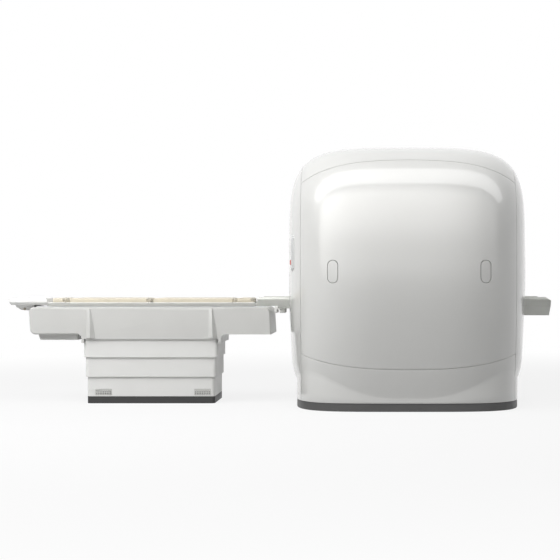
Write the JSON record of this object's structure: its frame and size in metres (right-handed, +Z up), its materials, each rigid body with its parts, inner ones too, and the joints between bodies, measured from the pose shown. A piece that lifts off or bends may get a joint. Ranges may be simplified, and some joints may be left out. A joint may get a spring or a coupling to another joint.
{
  "type": "mri scanner",
  "caption": "Hospital magnetic resonance scanner: barrel-shaped gantry with a round bore, and a lifting patient table whose padded top slides into it.",
  "frame": {"origin": "on the floor under the centre of the bore", "axes": "+X the way the tabletop travels into the bore, +Z up, -Y the side the picture shows"},
  "size_m": [4.185, 2.16, 1.965],
  "materials": {
    "gantry_cover": "glossy white lacquer",
    "gantry_plinth": "dark grey satin",
    "cover_plug": "glossy white",
    "bore_lining": "smooth white",
    "vessel_steel": "brushed",
    "coil_resin": "cast resin",
    "stand_paint": "matt grey paint",
    "cryo_steel": "machined",
    "panel_face": "fine satin",
    "key_pale": "satin",
    "key_red": "glossy red",
    "laser_glass": "dark tinted",
    "bridge_paint": "satin grey",
    "dock_paint": "satin dark grey",
    "pedestal_paint": "satin light grey",
    "grille_dark": "satin",
    "table_plinth": "near black",
    "column_alloy": "anodised",
    "motor_iron": "painted",
    "belt_rubber": "ribbed",
    "beam_cover": "satin light grey",
    "tabletop_white": "smooth white",
    "cap_grey": "satin grey",
    "clip_dark": "satin",
    "mattress_vinyl": "soft beige vinyl"
  },
  "bodies": {
    "root": {"front_cover": "gantry_cover", "rear_cover": "gantry_cover", "top_cover": "gantry_cover", "side_cover_near": "gantry_cover", "side_cover_far": "gantry_cover", "lower_panel_near": "gantry_cover", "lower_panel_far": "gantry_cover", "plinth_front": "gantry_plinth", "plinth_rear": "gantry_plinth", "plinth_near": "gantry_plinth", "plinth_far": "gantry_plinth", "side_plugs": "cover_plug", "bore_liner": "bore_lining", "funnel_front": "bore_lining", "funnel_rear": "bore_lining", "magnet_vessel": "vessel_steel", "gradient_coil": "coil_resin", "body_coil": "coil_resin", "magnet_stand": "stand_paint", "service_turret": "cryo_steel", "cold_head": "cryo_steel", "cover_mounts": "stand_paint", "control_panel_near": "panel_face", "control_panel_far": "panel_face", "laser_window": "laser_glass", "bridge": "bridge_paint", "bridge_supports": "bridge_paint", "docking_hook": "dock_paint", "table_plinth": "table_plinth", "base_plate": "stand_paint", "tier_lower": "pedestal_paint", "vent_grilles": "grille_dark", "lift_column_outer": "column_alloy", "lift_motor": "stand_paint"},
    "beam": {"lift_column_inner": "column_alloy", "beam_frame": "column_alloy", "beam_cover": "beam_cover", "guide_rails": "column_alloy", "cable_tray": "beam_cover", "drive_motor": "motor_iron", "drive_belt": "belt_rubber"},
    "tabletop": {"tabletop": "tabletop_white", "end_cap": "cap_grey", "mattress_foot": "mattress_vinyl", "mattress_leg": "mattress_vinyl", "mattress_body": "mattress_vinyl", "mattress_head": "mattress_vinyl", "strap_clips": "clip_dark"},
    "tier_upper": {"tier_upper": "pedestal_paint"},
    "tier_middle": {"tier_middle": "pedestal_paint"},
    "column_middle": {"lift_column_middle": "column_alloy"},
    "drive_pulley": {"drive_pulley": "column_alloy"},
    "idler_pulley": {"idler_pulley": "column_alloy"},
    "release_knob": {"release_knob": "clip_dark"},
    "key_table_in_near": {"key_table_in_near": "key_pale"},
    "key_table_out_near": {"key_table_out_near": "key_pale"},
    "key_stop_near": {"key_stop_near": "key_red"},
    "key_table_in_far": {"key_table_in_far": "key_pale"},
    "key_table_out_far": {"key_table_out_far": "key_pale"},
    "key_stop_far": {"key_stop_far": "key_red"}
  },
  "joints": [
    {"name": "table_lift", "type": "slide", "parent": "root", "child": "beam", "axis": [0, 0, 1], "range_m": [-0.33, 0]},
    {"name": "tier_upper_rise", "type": "slide", "parent": "root", "child": "tier_upper", "axis": [0, 0, 1], "range_m": [-0.22, 0]},
    {"name": "tier_middle_rise", "type": "slide", "parent": "root", "child": "tier_middle", "axis": [0, 0, 1], "range_m": [-0.11, 0]},
    {"name": "column_rise", "type": "slide", "parent": "root", "child": "column_middle", "axis": [0, 0, 1], "range_m": [-0.165, 0]},
    {"name": "table_travel", "type": "slide", "parent": "beam", "child": "tabletop", "axis": [1, 0, 0], "range_m": [0, 1.76]},
    {"name": "drive_pulley_spin", "type": "hinge", "parent": "beam", "child": "drive_pulley", "pos_m": [-1.148, 0, 0.674], "axis": [0, 1, 0], "range_deg": [0, 3560]},
    {"name": "idler_pulley_spin", "type": "hinge", "parent": "beam", "child": "idler_pulley", "pos_m": [-2.85, 0, 0.674], "axis": [0, 1, 0], "range_deg": [0, 3560]},
    {"name": "release_turn", "type": "hinge", "parent": "tabletop", "child": "release_knob", "pos_m": [-2.983, -0.104, 0.723], "axis": [0, 1, 0], "range_deg": [0, 25]},
    {"name": "press_table_in_near", "type": "slide", "parent": "root", "child": "key_table_in_near", "axis": [0.9913, 0.1319, 0], "range_m": [0, 0.002], "stiffness_N_per_m": 300, "springref_m": -0.001},
    {"name": "press_table_out_near", "type": "slide", "parent": "root", "child": "key_table_out_near", "axis": [0.9913, 0.1319, 0], "range_m": [0, 0.002], "stiffness_N_per_m": 300, "springref_m": -0.001},
    {"name": "press_stop_near", "type": "slide", "parent": "root", "child": "key_stop_near", "axis": [0.9913, 0.1319, 0], "range_m": [0, 0.002], "stiffness_N_per_m": 300, "springref_m": -0.001},
    {"name": "press_table_in_far", "type": "slide", "parent": "root", "child": "key_table_in_far", "axis": [0.9913, -0.1319, 0], "range_m": [0, 0.002], "stiffness_N_per_m": 300, "springref_m": -0.001},
    {"name": "press_table_out_far", "type": "slide", "parent": "root", "child": "key_table_out_far", "axis": [0.9913, -0.1319, 0], "range_m": [0, 0.002], "stiffness_N_per_m": 300, "springref_m": -0.001},
    {"name": "press_stop_far", "type": "slide", "parent": "root", "child": "key_stop_far", "axis": [0.9913, -0.1319, 0], "range_m": [0, 0.002], "stiffness_N_per_m": 300, "springref_m": -0.001}
  ],
  "couplings": [
    {"joint": "tier_upper_rise", "follows": "table_lift", "ratio": 0.6666},
    {"joint": "tier_middle_rise", "follows": "table_lift", "ratio": 0.3333},
    {"joint": "column_rise", "follows": "table_lift", "ratio": 0.5},
    {"joint": "drive_pulley_spin", "follows": "table_travel", "rad_per_m": 34.13},
    {"joint": "idler_pulley_spin", "follows": "table_travel", "rad_per_m": 34.13}
  ]
}
